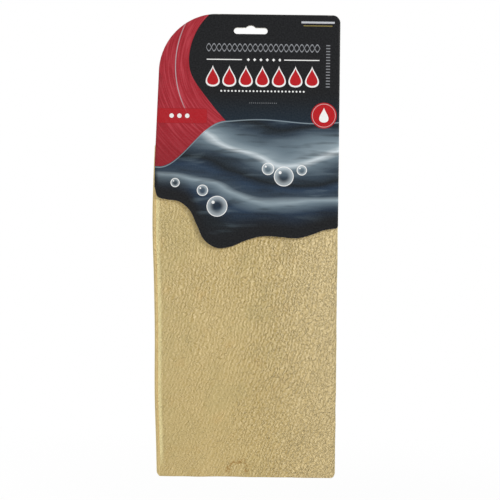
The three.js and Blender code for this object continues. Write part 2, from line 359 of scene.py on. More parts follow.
LEATHER = colour(0xC3AF7A)
# The ridge and valley colours are the grain's own tone and also painted light and shade: on the
# ridges' lit and shaded sides, towards the right and towards the foot
LEATHER_RIDGE_AND_HIGHLIGHT = colour(0xEAD6A7)
LEATHER_VALLEY_AND_SHADE = colour(0x9F8338)
LEATHER_KHAKI = colour(0xB8AA77)
LEATHER_TAN = colour(0xC8A062)
# Cream and gold: painted light beside the left fold and where the skin turns round it
LEATHER_CREAM_HIGHLIGHT = colour(0xE8DBA4)
LEATHER_GOLD_HIGHLIGHT = colour(0xEAD093)
LEATHER_BROWN = colour(0x9A743A)
LEATHER_SUEDE_EDGE = colour(0xD6C592)

CREASE_PLACE = FLAT_FRONT - 3.4  # beside the left fold
PUCKER_U = 96.0  # a small arched wrinkle just above the foot
PUCKER_V = 3.0
PUCKER_RADIUS = 10.5
RIDGE_SPACING = 3.4
RIDGE_LEAN = 0.5  # how far the grain leans to the right at the foot; it stands upright at the top
RIDGE_SKEW = 0.45  # steepens the side of the ridges that faces the key lamp
WARP_REACH = 9.0  # how far the ridges wander from straight lines
STIR_TURN = 12.0  # how far finer noise shifts them, in radians
GRAIN_RELIEF = 0.0019  # in metres


def leaned(u, v):
    """A measure across the flat skin that stays the same along the grain."""
    return u + v * (1 - v / (2 * BODY_HEIGHT)) * RIDGE_LEAN


def grain_strength(paint, skin, u, v):
    """How strong the grain is: more to the right and upward, in patches and on the rear leaf."""
    patch = paint.rise(paint.noise(skin, 0.025, 2.0), 0.3, 0.7)
    rear_leaf = paint.rise(u, FLAT_FRONT * 1.9, FLAT_FRONT * 2.1)
    sideways = paint.rise(u, 135, 5) * 0.48
    upward = paint.rise(v, 20, 215) * 0.16
    return 0.19 + sideways + upward + patch * 0.12 + rear_leaf * 0.17


def grain_ridges(paint, bent):
    """The height of the grain, and the lit side of its long ridges, for painted light and shade in
    the colour.
    """
    stir = paint.noise(paint.scaled(bent, (1.0, 1.9, 1.0)), 0.22, 1.0) - 0.5
    turn = paint.part(bent, "X") * (2 * math.pi / RIDGE_SPACING) + stir * STIR_TURN
    long_ridges = turn.sine() + (turn * 2).sine() * RIDGE_SKEW
    broken = paint.noise(paint.scaled(bent, (1.0, 1.7, 1.0)), 0.3, 1.0) * 3.2 - 1.0
    short_ridges = paint.noise(paint.scaled(bent, (1.0, 0.8, 1.0)), 0.74, 1.0)
    pebble = paint.noise(bent, 1.3, 1.0)
    height = long_ridges * broken * 0.36 + (short_ridges - 0.5) * 0.6 + (pebble - 0.5) * 0.45
    return height, (turn + math.pi / 2).sine() * broken


def fold_marks(paint, skin, u, v):
    """A painted highlight on the roll beside the left fold, painted light where the skin turns
    round it, a tan line and the brown arch above the foot.
    """
    past_crease = u - CREASE_PLACE
    above_foot = paint.rise(v, 4, 26)
    # Painted highlight: a cream strip over the roll beside the left fold
    roll = paint.rise(past_crease, -2.2, 1.2) * paint.rise(past_crease, 3.6, 2.6) * above_foot
    # Painted light: gold where the skin turns round the left fold, away from the key lamp
    gold_and_painted_light = paint.rise(past_crease, 2.6, 3.4) * paint.rise(past_crease, 9.0, 6.0)
    line = paint.rise(abs(past_crease - 3.1), 0.7, 0.2) * above_foot
    wander = paint.noise(skin, 0.16, 1.0) * 16 - 8
    spread = paint.noise(skin, 0.4, 2.0, 0.7) * 12 - 4.9
    from_arch = abs(distance(u + wander, v - wander * 0.5, PUCKER_U, PUCKER_V) - PUCKER_RADIUS)
    # A brown line along the arched wrinkle above the foot
    brown_arch = paint.rise(from_arch - spread, 0.5, -0.9) * paint.rise(v, 1, 5)
    return [
        (roll * 0.7, LEATHER_CREAM_HIGHLIGHT), (gold_and_painted_light * 0.6, LEATHER_GOLD_HIGHLIGHT),
        (line * 0.55, LEATHER_TAN), (brown_arch * 0.7, LEATHER_BROWN),
    ]


def leather_material():
    paint = Paint(bpy.data.materials.new("chamois_suede"))
    skin = paint.attribute("skin")
    u = paint.part(skin, "X")
    v = paint.part(skin, "Y")
    warp = paint.moved(paint.noise(skin, 0.045, 2.0, output=1), (-0.5, -0.5, -0.5))
    warp = paint.scaled(warp, (WARP_REACH, WARP_REACH, 0.0))
    bent = paint.moved(paint.vector(leaned(u, v), v), warp)
    ridges, lit = grain_ridges(paint, bent)
    strength = grain_strength(paint, skin, u, v)
    # The tone is the grain's own colour, lighter on crests and darker in valleys, with painted
    # light and shade on the ridges' sides that face towards and away from the key lamp
    tone = (paint.attribute("ridge", "Fac") * 0.16 + lit * 0.6 + ridges * 0.5) * strength
    nap = paint.noise(skin, 3.4, 3.0, 0.7)
    broad = paint.noise(skin, 0.02, 3.0, 0.55) + u * 0.001
    patches = paint.noise(bent, 0.06, 2.0)
    shade = paint.layered(LEATHER_VALLEY_AND_SHADE, [
        (paint.rise(tone, -0.52, 0.52), LEATHER_RIDGE_AND_HIGHLIGHT),
        (0.2, LEATHER),
        (paint.rise(broad, 0.56, 0.76) * 0.32, LEATHER_KHAKI),
        (paint.rise(patches, 0.58, 0.74) * 0.16, LEATHER_TAN),
        ((nap - 0.5) * 0.3 + 0.06, LEATHER_RIDGE_AND_HIGHLIGHT),
        # Painted light: lighter towards the right, where the key lamp stands
        (paint.rise(u, FLAT_FRONT * 0.5, 0) * 0.44, LEATHER_RIDGE_AND_HIGHLIGHT),
        # Painted shade: darker towards the foot, and over the rear layers
        (paint.rise(v, 190, 20) * 0.14 + 0.02, LEATHER_VALLEY_AND_SHADE),
        *fold_marks(paint, skin, u, v),
        (paint.attribute("rim", "Fac") * 0.7, LEATHER_SUEDE_EDGE),
    ])
    return paint.finish(
        Base_Color=shade,
        Roughness=0.88 + (nap - 0.5) * 0.14,
        Specular_IOR_Level=0.2,
        Sheen_Weight=0.1,
        Sheen_Roughness=0.5,
        Sheen_Tint=LEATHER_SUEDE_EDGE,
        Normal=paint.bump(ridges * strength + (nap - 0.5) * 0.08, GRAIN_RELIEF),
    )


# The print

CHARCOAL = colour(0x0E0F11)
CHARCOAL_BLUE = colour(0x13212C)
RED = colour(0x9D222D)
RED_DEEP = colour(0x851A22)
RED_PALE = colour(0xBE4852)
TAB_RED = colour(0xA7161F)
BADGE_RED = colour(0xAE141B)
WHITE_INK = colour(0xE9E9E7)
GREY_INK = colour(0x8C8E92)
SILVER_INK = colour(0xB9BBC0)
GOLD_INK = colour(0x9A8A4A)
STEEL_DARK = colour(0x11181D)
STEEL = colour(0x323F4B)
STEEL_BLUE = colour(0x243548)
STEEL_LIGHT = colour(0x65757F)
STEEL_MIST = colour(0x8B9AA2)
STEEL_PALE = colour(0xC6D0D5)
BOARD_GREY = colour(0xD4D1C7)
BOARD_FIBRE = colour(0xB5AE9E)

# The red field: an arc about a centre, and a slope below that the arc runs into
FIELD_X = 5.0
FIELD_Z = -36.0
FIELD_RADIUS = 64.0
SLOPE_X = -57.1
SLOPE_Z = -50.3
SLOPE_FALL = 1.267
SLOPE_SCALE = 0.62
FIELD_BLEND = 5.0
SWOOSH = (FIELD_X + 16, FIELD_Z - 3, 92.0, 0.9)

# Bars as left, right, height and half thickness
RULE_HEIGHT = -32.6
LEFT_RULE = (-41.5, -8, RULE_HEIGHT, 0.45)
RIGHT_RULE = (32, 65.5, RULE_HEIGHT, 0.45)
SILVER_BAR = (48, 79.5, 3.4, 0.9)
GOLD_BAR = (50, 77.5, 0.2, 0.3)
# Rows of dots as left, right, height, step and radius
LARGE_DOTS = (-29, 52.6, -62.4, 3.4, 0.85)
SMALL_DOTS = (-1, 26, -73.6, 1.8, 0.42)
TAB_DOTS = (-77.8, -55.6, -86.5, 7.4, 2.1)

CHAIN_LEFT = -42
CHAIN_RIGHT = 66
CHAIN_HEIGHT = -21.2
CHAIN_LINK = 4.9
CHAIN_REACH = 3.4
CHAIN_LINE = 0.55
DIAMONDS_LEFT = -5
DIAMONDS_RIGHT = 28.9
DIAMOND_STEP = 6
DIAMOND_HALF = 1.5
TICKS_LOW = -59
TICKS_HIGH = -17
TICK_STEP = 2.8
TICK_ENDS = (71.8, 75.6)

# Drops as height, half width and half height
DROPS_LEFT = -43.4
DROPS_RIGHT = 66.4
DROP_STEP = 15.7
WHITE_DROP = (-48.2, 6.6, 10.2)
RED_DROP = (-48.5, 5.3, 8.3)
BADGE_DROP = (-84.2, 4.4, 7.2)

TAB_RIGHT = -42.5
TAB_HEIGHT = -86.5
TAB_HALF = 5.1
TAB_ROUNDING = 2
BADGE_X = 70.3
BADGE_Z = -84.8
BADGE_RADIUS = 12.2
BADGE_RING = (BADGE_X, BADGE_Z, 10.9, 0.4)

CREST_HEIGHT = -90
CREST_FALL = 46
WATER_LOW = -212
WATER_HEIGHT = 135
WATER_STOPS = [
    (0.0, STEEL_DARK), (0.17, STEEL_DARK), (0.3, STEEL_BLUE), (0.36, STEEL_LIGHT),
    (0.385, STEEL_MIST), (0.42, STEEL), (0.49, STEEL_BLUE), (0.54, STEEL_DARK),
    (0.61, STEEL), (0.67, STEEL_LIGHT), (0.71, STEEL_PALE), (0.74, STEEL_MIST),
    (0.8, STEEL_LIGHT), (0.87, STEEL), (0.92, STEEL_DARK), (1.0, STEEL_BLUE),
]
BUBBLES = [
    (-30.0, -172.0, 9.5), (-44.0, -157.0, 5.0), (18.0, -136.0, 5.5), (33.0, -143.0, 9.0),
    (50.0, -137.0, 4.5), (-70.0, -150.0, 4.0),
]


def bubble_marks(paint, x, z):
    """For each bubble a haze that grows towards its rim, a thin line round it and a glint."""
    marks = []
    for centre_x, centre_z, radius in BUBBLES:
        away = distance(x, z, centre_x, centre_z)
        to_glint = distance(x, z, centre_x - radius * 0.4, centre_z + radius * 0.4)
        haze = inside(radius - away) * paint.rise(away, radius * 0.3, radius) * 0.6
        line = inside(0.35 - abs(away - radius))
        glint = inside(radius * 0.16 - to_glint)
        marks += [(haze, STEEL_PALE), (line, WHITE_INK), (glint, WHITE_INK)]
    return marks


def water_colour(paint, x, z, below_crest):
    """Steel blue bands of water with bubbles, dark along the card's lower edge."""
    place = paint.vector(x * 0.4, z)
    stir = paint.noise(place, 0.03, 1.5) - 0.5
    level = z + (x * 0.036 + 0.6).sine() * 9 + x * 0.1 + stir * 30
    water = paint.ramp((level - WATER_LOW) / WATER_HEIGHT, WATER_STOPS)
    ripple = paint.noise(paint.scaled(place, (0.4, 1.0, 1.0)), 0.16, 2.0)
    return paint.layered(water, [
        (paint.rise(ripple, 0.52, 0.74) * 0.35, STEEL_LIGHT),
        (paint.rise(ripple, 0.5, 0.3) * 0.5, STEEL_DARK),
        (paint.rise(paint.attribute("rise", "Fac"), 30, 6), CHARCOAL),
        (inside(0.5 - abs(below_crest - 1)) * 0.7, STEEL_MIST),
        *bubble_marks(paint, x, z),
    ])


def red_field(paint, x, z):
    """A red field with fine streaks along its arc, and its share."""
    to_centre = distance(x, z, FIELD_X, FIELD_Z)
    past_arc = to_centre - FIELD_RADIUS
    past_slope = (SLOPE_Z - z - (x - SLOPE_X) * SLOPE_FALL) * SLOPE_SCALE
    gap = past_arc - past_slope
    joined = (past_arc + past_slope + (gap * gap + FIELD_BLEND**2) ** 0.5) * 0.5
    streak = paint.noise(paint.vector(to_centre, z * 0.06), 0.62, 2.0)
    red = paint.layered(RED, [
        (paint.rise(streak, 0.42, 0.68) * 0.55, RED_PALE),
        (paint.rise(streak, 0.5, 0.3) * 0.5, RED_DEEP),
        (paint.rise(z, -84, -132) * 0.75, RED_DEEP),
        (ring(x, z, *SWOOSH) * paint.rise(abs(z + 40), 62, 20) * 0.6, SILVER_INK),
    ])
    return inside(joined) * inside(FIELD_X - x), red


def chain(x, z):
    """Two lines that twist round each other."""
    twist = ((x - CHAIN_LEFT) * (math.pi / CHAIN_LINK)).sine() * CHAIN_REACH
    above = z - CHAIN_HEIGHT
    one = inside(CHAIN_LINE - abs(above - twist))
    other = inside(CHAIN_LINE - abs(above + twist))
    return one.largest(other) * band(x, CHAIN_LEFT, CHAIN_RIGHT)


def upper_marks(x, z):
    """The drops, dots and rules on the charcoal field."""
    from_diamond = abs(in_steps(x, DIAMONDS_LEFT, DIAMOND_STEP))
    diamonds = inside(DIAMOND_HALF - abs(z - RULE_HEIGHT) - from_diamond)
    diamonds = diamonds * band(x, DIAMONDS_LEFT, DIAMONDS_RIGHT)
    rules = bar(x, z, *LEFT_RULE).largest(bar(x, z, *RIGHT_RULE))
    drop_x = in_steps(x, DROPS_LEFT, DROP_STEP)
    drops = band(x, DROPS_LEFT, DROPS_RIGHT)
    ticks = inside(0.5 - abs(in_steps(z, TICKS_LOW, TICK_STEP)))
    ticks = ticks * band(z, TICKS_LOW, TICKS_HIGH) * band(x, *TICK_ENDS)
    return [
        (chain(x, z), GREY_INK),
        (rules.largest(diamonds), WHITE_INK),
        (drop(drop_x, z, *WHITE_DROP) * drops, WHITE_INK),
        (drop(drop_x, z, *RED_DROP) * drops, BADGE_RED),
        (dot_row(x, z, *LARGE_DOTS), WHITE_INK),
        (dot_row(x, z, *SMALL_DOTS) * 0.7, GREY_INK),
        (ticks * 0.8, GREY_INK),
        (bar(x, z, *SILVER_BAR), SILVER_INK),
        (bar(x, z, *GOLD_BAR), GOLD_INK),
    ]


def tab_and_badge(x, z):
    """A red tab with three dots at the left, and a round red badge with a drop at the right."""
    past_side = (x - TAB_RIGHT).largest(0)
    past_top = (abs(z - TAB_HEIGHT) - TAB_HALF).largest(0)
    in_tab = TAB_ROUNDING - distance(past_side, past_top, 0, 0)
    return [
        (inside(in_tab) * 0.85, TAB_RED),
        (inside(0.35 - abs(in_tab)) * 0.45, RED_DEEP),
        (dot_row(x, z, *TAB_DOTS), WHITE_INK),
        (inside(BADGE_RADIUS - distance(x, z, BADGE_X, BADGE_Z)), BADGE_RED),
        (drop(x - BADGE_X, z, *BADGE_DROP), WHITE_INK),
        (ring(x, z, *BADGE_RING) * 0.6, WHITE_INK),
    ]


def print_colour(paint, x, z):
    """The print: a red field beside a charcoal one, over water."""
    fall = paint.rise(x, -22, -86) ** 1.15 * CREST_FALL
    below_crest = CREST_HEIGHT - fall + (x * 0.06 + 1).sine() * 1.6 - z
    return paint.layered(CHARCOAL, [
        (paint.rise(z, -62, -96), CHARCOAL_BLUE),
        red_field(paint, x, z),
        *upper_marks(x, z),
        (inside(below_crest), water_colour(paint, x, z, below_crest)),
        *tab_and_badge(x, z),
    ])


# The board and the wire

WORN_FOLD = FOLD_HEIGHT + 2.0
STEEL_WIRE = colour(0xB9BBBE)
STEEL_WIRE_DULL = colour(0x8B8D90)


def printed_material():
    paint = Paint(bpy.data.materials.new("printed_board"))
    flat = paint.attribute("flat")
    x = paint.part(flat, "X")
    z = paint.part(flat, "Y")
    mottle = paint.noise(flat, 0.7, 3.0)
    scuff = paint.noise(flat, 1.6, 3.0, 0.7)
    fibre = paint.noise(paint.scaled(flat, (0.4, 1.4, 1.0)), 2.2, 2.0)
    wear = paint.rise(paint.attribute("edge", "Fac") + scuff * 1.3, 0.78, 0.45)
    crease = paint.rise(abs(z - WORN_FOLD) - scuff * 1.6, 0.4, -0.6) * 0.5
    shade = paint.layered(print_colour(paint, x, z), [
        (wear.largest(crease), BOARD_GREY),
        ((mottle - 0.5) * 0.12 + 0.02, GREY_INK),
    ])
    return paint.finish(
        Base_Color=shade,
        Roughness=0.42 + (mottle - 0.5) * 0.2 + wear * 0.3,
        Specular_IOR_Level=0.11,
        Normal=paint.bump(fibre, 0.00005, 0.5),
    )


def board_material():
    paint = Paint(bpy.data.materials.new("plain_board"))
    flat = paint.attribute("flat")
    fibre = paint.noise(paint.scaled(flat, (0.3, 1.5, 4.0)), 2.6, 3.0, 0.65)
    fleck = paint.noise(flat, 1.1, 2.0)
    cloud = paint.noise(flat, 0.05, 2.0)
    shade = paint.layered(BOARD_GREY, [
        (paint.rise(fibre, 0.45, 0.75) * 0.45, BOARD_FIBRE),
        (paint.rise(fleck, 0.66, 0.72) * 0.4, GREY_INK),
        (cloud * 0.2, BOARD_FIBRE),
    ])
    return paint.finish(
        Base_Color=shade,
        Roughness=0.82 + (fibre - 0.5) * 0.16,
        Specular_IOR_Level=0.3,
        Normal=paint.bump(fibre, 0.00012, 0.6),
    )


def wire_material():
    paint = Paint(bpy.data.materials.new("steel_wire"))
    place = paint.node("ShaderNodeTexCoord", output="Object")
    draw = paint.noise(paint.scaled(place, (300.0, 2200.0, 6000.0)), 1.0, 2.0)
    dull = paint.noise(place, 900.0, 2.0)
    return paint.finish(
        Base_Color=paint.mix(dull, STEEL_WIRE, STEEL_WIRE_DULL),
        Metallic=1.0,
        Roughness=0.3 + draw * 0.2,
        Normal=paint.bump(draw, 0.00003, 0.5),
    )


# Meshes

SHARP_DEGREES = 50


def make_piece(name, points, faces, materials, material_index=None, attributes=None):
    """A closed mesh from points in millimetres, shaded smooth but for its sharp edges."""
    mesh = bpy.data.meshes.new(name)
    mesh.from_pydata((np.asarray(points) * MM).tolist(), [], faces)
    for material in materials:
        mesh.materials.append(material)
    if material_index is not None:
        mesh.polygons.foreach_set("material_index", np.asarray(material_index, np.int32))
    for label, values in (attributes or {}).items():
        values = np.asarray(values, np.float32)
        kind, field = ("FLOAT_VECTOR", "vector") if values.ndim == 2 else ("FLOAT", "value")
        layer = mesh.attributes.new(label, kind, "POINT")
        layer.data.foreach_set(field, values.ravel())
    work = bmesh.new()
    work.from_mesh(mesh)
    bmesh.ops.recalc_face_normals(work, faces=work.faces)
    work.to_mesh(mesh)
    work.free()
    mesh.polygons.foreach_set("use_smooth", np.ones(len(mesh.polygons), bool))
    piece = bpy.data.objects.new(name, mesh)
    bpy.context.scene.collection.objects.link(piece)
    return piece


def keep_edges_sharp(piece):
    piece.data.set_sharp_from_angle(angle=math.radians(SHARP_DEGREES))


def arc(x, z, radius, from_degrees, to_degrees, steps):
    angles = np.radians(np.linspace(from_degrees, to_degrees, steps + 1))
    return [(x + radius * math.cos(a), z + radius * math.sin(a)) for a in angles]


def rectangle(left, right, low, high):
    return [(left, low), (right, low), (right, high), (left, high)]


def wound(loop, outward=True):
    """The loop as an array, counter-clockwise for an outline and clockwise for a hole."""
    loop = np.array(loop, float)
    following = np.roll(loop, -1, axis=0)
    twice_area = (loop[:, 0] * following[:, 1] - following[:, 0] * loop[:, 1]).sum()
    return loop if (twice_area > 0) == outward else loop[::-1]


def drawn_in(loop, by):
    """The loop moved to its left by a distance, which is inward for an outline."""
    before = loop - np.roll(loop, 1, axis=0)
    after = np.roll(loop, -1, axis=0) - loop
    before /= np.linalg.norm(before, axis=1)[:, None]
    after /= np.linalg.norm(after, axis=1)[:, None]
    along = before + after
    along /= np.linalg.norm(along, axis=1)[:, None]
    normal = np.stack([-along[:, 1], along[:, 0]], axis=1)
    slant = np.clip((before * along).sum(axis=1), 0.5, 1)
    return loop + normal * (by / slant)[:, None]


def within(points, loops):
    """Which points lie inside the outline and outside its holes."""
    odd = np.zeros(len(points), bool)
    x, z = points[:, 0], points[:, 1]
    for loop in loops:
        for (x0, z0), (x1, z1) in zip(loop, np.roll(loop, -1, axis=0)):
            if z0 == z1:
                continue
            crossing = (z0 > z) != (z1 > z)
            odd ^= crossing & (x < x0 + (z - z0) * (x1 - x0) / (z1 - z0))
    return odd


def edge_distance(points, loops):
    nearest = np.full(len(points), np.inf)
    for loop in loops:
        for a, b in zip(loop, np.roll(loop, -1, axis=0)):
            run = b - a
            share = np.clip(((points - a) @ run) / max(run @ run, 1e-12), 0, 1)
            gap = np.linalg.norm(points - (a + share[:, None] * run), axis=1)
            nearest = np.minimum(nearest, gap)
    return nearest


EASED = 0.1  # how much a sheet's edges are rounded off
WORN = 1.2  # how far in from an edge wear reaches
# The depths of a plate's front, rear and two rim lines, in space and in the material
DEPTHS = (0.0, 1.0, 0.18, 0.82)
PAINT_DEPTHS = (0.0, 1.0, 0.2, 0.8)


def plate(name, outline, holes, grid, place, materials, painted=None):
    """A thin closed plate. place(x, s, depth) puts a point of the flat outline in space,
    where depth goes from 0 on the front face to 1 on the rear face. painted(x, s) gives
    further attributes by name."""
    loops = [wound(outline)] + [wound(hole, outward=False) for hole in holes]
    inset = [drawn_in(loop, EASED) for loop in loops]
    worn = np.concatenate([drawn_in(loop, WORN) for loop in loops])
    worn = worn[within(worn, loops)]
    worn = worn[edge_distance(worn, loops) > WORN * 0.9]
    grid = grid[within(grid, loops) & (edge_distance(grid, loops) > WORN * 1.6)]
    flat = np.concatenate([*inset, worn, grid])
    edges = []
    for loop in loops:
        start, size = len(edges), len(loop)
        edges += [(start + i, start + (i + 1) % size) for i in range(size)]
    cut = geometry.delaunay_2d_cdt([Vector(p) for p in flat], edges, [], 0, 1e-7)
    flat = np.array([tuple(p) for p in cut[0]])
    triangles = np.array([face for face in cut[2] if len(face) == 3])
    triangles = triangles[within(flat[triangles].mean(axis=1), inset)]
    count, rim_count = len(flat), len(edges)
    faces = triangles[:, ::-1].tolist() + (triangles + count).tolist()
    kinds = [0] * len(triangles) + [1] * len(triangles)
    for a, b in edges:
        front_a, front_b = 2 * count + a, 2 * count + b
        rear_a, rear_b = front_a + rim_count, front_b + rim_count
        faces += [(a, b, front_b, front_a), (front_a, front_b, rear_b, rear_a)]
        faces.append((rear_a, rear_b, count + b, count + a))
        kinds += [0, 1, 1]
    rim = np.concatenate(loops)
    both = np.concatenate([flat, flat, rim, rim])
    counts = [count, count, rim_count, rim_count]
    x, s = both.T
    attributes = {
        "flat": np.column_stack([both, np.repeat(PAINT_DEPTHS, counts)]),
        "edge": edge_distance(both, loops) / WORN,
    }
    if painted is not None:
        attributes |= painted(x, s)
    points = place(x, s, np.repeat(DEPTHS, counts))
    return make_piece(name, points, faces, materials, kinds, attributes)


def lattice(left, right, low, high, steps):
    columns = np.arange(left, right, steps[0])
    rows = np.arange(low, high, steps[1])
    across, up = np.meshgrid(columns, rows)
    return np.column_stack([across.ravel(), up.ravel()])


# The card

LARGE_X = -CARD_LEFT_HIGH + LARGE_CORNER
LARGE_Z = CARD_TOP - LARGE_CORNER
LARGE_TURN = math.degrees(math.asin((FOLD_HEIGHT - LARGE_Z) / LARGE_CORNER))
TOP_X = CARD_RIGHT - TOP_CORNER
TOP_Z = CARD_TOP - TOP_CORNER
TOP_TURN = math.degrees(math.asin((FOLD_HEIGHT - TOP_Z) / TOP_CORNER))
BEND_RADIUS = (BOARD_INSIDE + BOARD_OUTSIDE) / 2
LARGE_ARC = arc(LARGE_X, LARGE_Z, LARGE_CORNER, 180, 180 - LARGE_TURN, 48)
TOP_ARC = arc(TOP_X, TOP_Z, TOP_CORNER, TOP_TURN, 0, 12)
BEND_TURNS = np.linspace(0, math.pi, 13)
CARD_STEP = 4.0
CARD_STEPS = (CARD_STEP, CARD_STEP)
GRID_FOOT = -215.0
LEG_ROOM = 0.15  # around a staple's leg


def catmull(points, steps):
    """A smooth line through points, as the part's source draws the card's lower edge."""
    points = np.array(points, float)
    before, after = 2 * points[0] - points[1], 2 * points[-1] - points[-2]
    padded = np.concatenate([[before], points, [after]])
    line = []
    for share in np.linspace(0, len(points) - 1, steps + 1):
        k = min(int(share), len(points) - 2)
        near = padded[k : k + 4]
        knots = [0.0]
        for a, b in zip(near, near[1:]):
            knots.append(knots[-1] + max(np.linalg.norm(b - a), 1e-9) ** 0.5)
        t = lerp(knots[1], knots[2], share - k)
        for spans in (((0, 1), (1, 2), (2, 3)), ((0, 2), (1, 3)), ((1, 2),)):
            near = [
                lerp(a, b, (t - knots[i]) / (knots[j] - knots[i]))
                for (i, j), a, b in zip(spans, near, near[1:])
            ]
        line.append(near[0])
    return np.array(line)


def wave_edge():
    width = CARD_LEFT_LOW + CARD_RIGHT
    inner = [(-CARD_LEFT_LOW + a * width, -LEFT_DROP - d * WAVE_DEPTH) for a, d in WAVE_SHARES]
    first = (-CARD_LEFT_LOW, -LEFT_DROP)
    last = (CARD_RIGHT - LOW_CORNER, -RIGHT_DROP)
    return catmull([first, *inner, last], 150)


def corner_side(height, side):
    """Where the card's outline is at a height near its top, on the left or the right."""
    if side < 0:
        return LARGE_X - math.sqrt(LARGE_CORNER**2 - (height - LARGE_Z) ** 2)
    return TOP_X + math.sqrt(TOP_CORNER**2 - (height - TOP_Z) ** 2)


def bend_side(side):
    """The ends of the fold over the top, in flat measure, from the front to the back."""
    line = []
    for turn in BEND_TURNS:
        height = min(FOLD_HEIGHT + BOARD_OUTSIDE * math.sin(turn), CARD_TOP - 1e-6)
        line.append((corner_side(height, side), FOLD_HEIGHT + turn * BEND_RADIUS))
    return line


def slot_outline():
    end = SLOT_HEIGHT / 2
    middle = -SLOT_BUMP - end
    half = SLOT_BUMP_WIDTH / 2
    radius = (half * half + SLOT_BUMP * SLOT_BUMP) / (2 * SLOT_BUMP)
    spread = math.degrees(math.asin(half / radius))
    return [
        *arc(-SLOT_WIDTH / 2 + end, middle, end, 270, 90, 16),
        *arc(0, -radius, radius, 90 + spread, 90 - spread, 12),
        *arc(SLOT_WIDTH / 2 - end, middle, end, 90, -90, 16),
    ]


def leg_holes(room):
    """Square holes for the staples' legs."""
    half = WIRE_HALF + room
    low, high = -STAPLE_DROP - half, -STAPLE_DROP + half
    legs = [centre + side * STAPLE_HALF for centre in STAPLE_CENTRES for side in (-1, 1)]
    return [rectangle(x - half, x + half, low, high) for x in legs]


WAVE = wave_edge()
WAVE_FOOT = WAVE[:, 1].min()
BOW = 0.9  # how far the front panel's lower part stands forward
BOW_TWIST = 0.35  # how much more it does so towards the right


def card_front_place(x, s, depth):
    radius = lerp(BOARD_OUTSIDE, BOARD_INSIDE, depth)
    turn = np.clip((s - FOLD_HEIGHT) / BEND_RADIUS, 0, math.pi)
    forward = (BOW + BOW_TWIST * x / CARD_RIGHT) * np.clip(s / WAVE_FOOT, 0, 1) ** 2
    y = -radius * np.cos(turn) - forward
    z = np.where(s > FOLD_HEIGHT, FOLD_HEIGHT + radius * np.sin(turn), s)
    return np.column_stack([x, y, z])


def card_front():
    """The printed panel and the fold over the card's top."""
    outline = [
        *LARGE_ARC[:-1],
        *bend_side(-1),
        *bend_side(1)[::-1],
        *TOP_ARC[1:],
        *arc(CARD_RIGHT - LOW_CORNER, -RIGHT_DROP + LOW_CORNER, LOW_CORNER, 0, -90, 10)[:-1],
        *WAVE[::-1],
        (-CARD_LEFT_LOW, -FLARE_DROP),
    ]
    panel = lattice(-CARD_LEFT_LOW, CARD_RIGHT, GRID_FOOT, FOLD_HEIGHT - 2, CARD_STEPS)
    rows = [
        *(FOLD_HEIGHT + BEND_TURNS[1:-1] * BEND_RADIUS),
        *(FOLD_HEIGHT - below for below in (0, SCORE_DROP / 2, SCORE_DROP, 1.2)),
    ]
    fold = [(x, s) for s in rows for x in np.arange(-40, 81, CARD_STEP)]
    grid = np.concatenate([panel, np.array(fold)])
    order = np.argsort(WAVE[:, 0])

    def above_wave(x, s):
        return {"rise": s - np.interp(x, WAVE[order, 0], WAVE[order, 1])}

    piece = plate(
        "card_front", outline, [slot_outline()], grid, card_front_place,
        [printed_material(), BOARD], above_wave,
    )
    keep_edges_sharp(piece)
    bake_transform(piece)
    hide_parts("front_panel")
    return piece


def card_back_place(x, s, depth):
    return np.column_stack([x, lerp(BOARD_INSIDE, BOARD_OUTSIDE, depth), s])


def card_back():
    """The plain panel behind, with the holes for the staples."""
    low = -BACK_DROP + BACK_CORNER
    outline = [
        *LARGE_ARC,
        *TOP_ARC,
        *arc(CARD_RIGHT - BACK_CORNER, low, BACK_CORNER, 0, -90, 10),
        *arc(-CARD_LEFT_HIGH + BACK_CORNER, low, BACK_CORNER, -90, -180, 10),
    ]
    grid = lattice(-CARD_LEFT_HIGH, CARD_RIGHT, -BACK_DROP, FOLD_HEIGHT, CARD_STEPS)
    holes = [slot_outline(), *leg_holes(LEG_ROOM)]
    piece = plate("card_back", outline, holes, grid, card_back_place, [BOARD, BOARD])
    keep_edges_sharp(piece)
    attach(piece, "card")
    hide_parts("back_panel")
    return piece


# The skin


def left_fold(z):
    return -SKIN_LEFT + SKIN_LEAN * curved(LEAN_SHARES, (-BODY_TOP - z) / BODY_HEIGHT)


def free_edge(z):
    share = (-BODY_TOP - z) / BODY_HEIGHT
    wander = swell(z / 16, 0.0, 2.5) * 1.1 + swell(z / 5, 0.0, 8.5) * 0.35
    return SKIN_RIGHT - REAR_WIDTH * curved(FREE_EDGE_SHARES, share) + wander


def plain_top(share):
    wander = swell(share * 14, 0.0, 6.5) * 1.2
    return -BODY_TOP - BODY_HEIGHT * curved(TOP_WAVE_SHARES, share) + wander


def neck_table():
    width = SKIN_LEFT + SKIN_RIGHT
    start = (SKIN_LEFT - NECK_HALF) / width
    end = (SKIN_LEFT + NECK_HALF) / width
    left_foot = start - NECK_TAPER / width
    right_foot = end + NECK_TAPER / width
    left = [(along * left_foot, high) for along, high in SHOULDER_SHARES]
    right = [(1 - along * (1 - right_foot), high) for along, high in SHOULDER_SHARES]
    return [
        *left, (left_foot, NECK_FOOT_SHARE), (start, 1), (end, 1),
        (right_foot, NECK_FOOT_SHARE), *right[::-1],
    ]


NECK_TABLE = neck_table()
NECK_FLAT = BODY_TOP - NECK_BEND - FOLD_CUT / 2


def necked_top(share):
    rise = NECK_FLAT * straight(NECK_TABLE, share)
    return np.minimum(-BODY_TOP + rise + swell(share * 16, 0.0, 1.5) * 0.6, -NECK_SEAM)


def corner_lift(away):
    inward = np.clip(FOOT_CORNER - away, 0, FOOT_CORNER)
    return FOOT_CORNER - np.sqrt(FOOT_CORNER**2 - inward**2)


